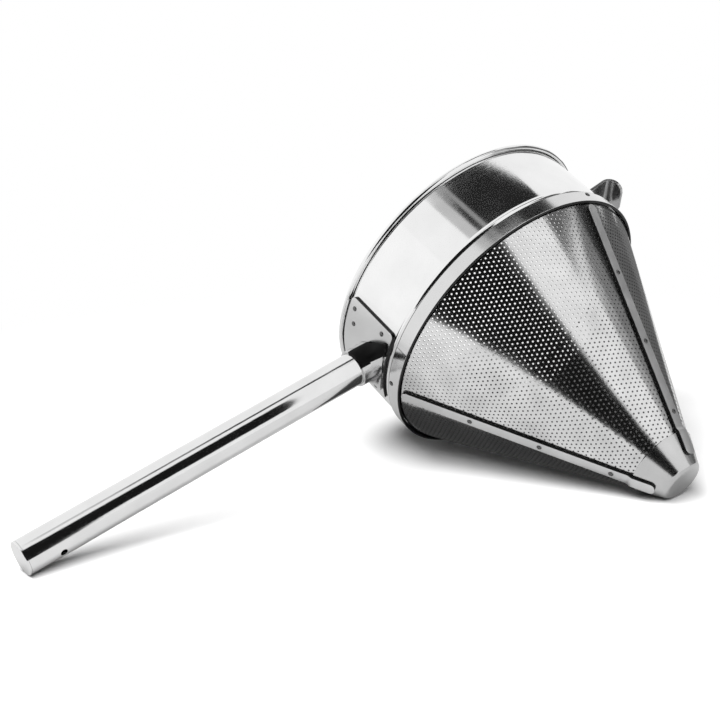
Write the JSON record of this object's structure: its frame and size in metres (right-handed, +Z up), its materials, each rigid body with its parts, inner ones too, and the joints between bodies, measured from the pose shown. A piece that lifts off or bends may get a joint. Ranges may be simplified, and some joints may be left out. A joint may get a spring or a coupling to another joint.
{
  "type": "chinois strainer",
  "caption": "Conical kitchen strainer of perforated stainless steel with a tall collar, guard straps, a blunt tip cap, a long tube handle and a pot hook.",
  "frame": {"origin": "middle of the outline, on the table that the strainer lies on", "axes": "+Z up from the table; +X the way that the tip points, along the table; the handle lies toward -Y"},
  "size_m": [0.2466, 0.479, 0.2064],
  "materials": {
    "sheet_steel": "bright polished sheet",
    "perforated_sheet": "bright rolled perforated sheet",
    "handle_steel": "bright polished tube",
    "strap_steel": "bright polished strip",
    "rod_steel": "drawn wire",
    "rivet_steel": "peened heads"
  },
  "bodies": {
    "root": {"reinforcing_ring": "sheet_steel", "collar": "sheet_steel", "rim_wire": "rod_steel", "perforated_cone": "perforated_sheet", "tip_cap": "sheet_steel", "handle_tube": "handle_steel", "handle_end_plug": "handle_steel", "saddle_plate": "sheet_steel", "handle_socket": "sheet_steel", "pot_hook": "sheet_steel", "ring_rivets": "rivet_steel", "saddle_rivets": "rivet_steel", "hook_rivets": "rivet_steel", "guard_strap_1": "strap_steel", "strap_rivets_1": "rivet_steel", "guard_strap_2": "strap_steel", "strap_rivets_2": "rivet_steel", "guard_strap_3": "strap_steel", "strap_rivets_3": "rivet_steel"}
  },
  "joints": []
}
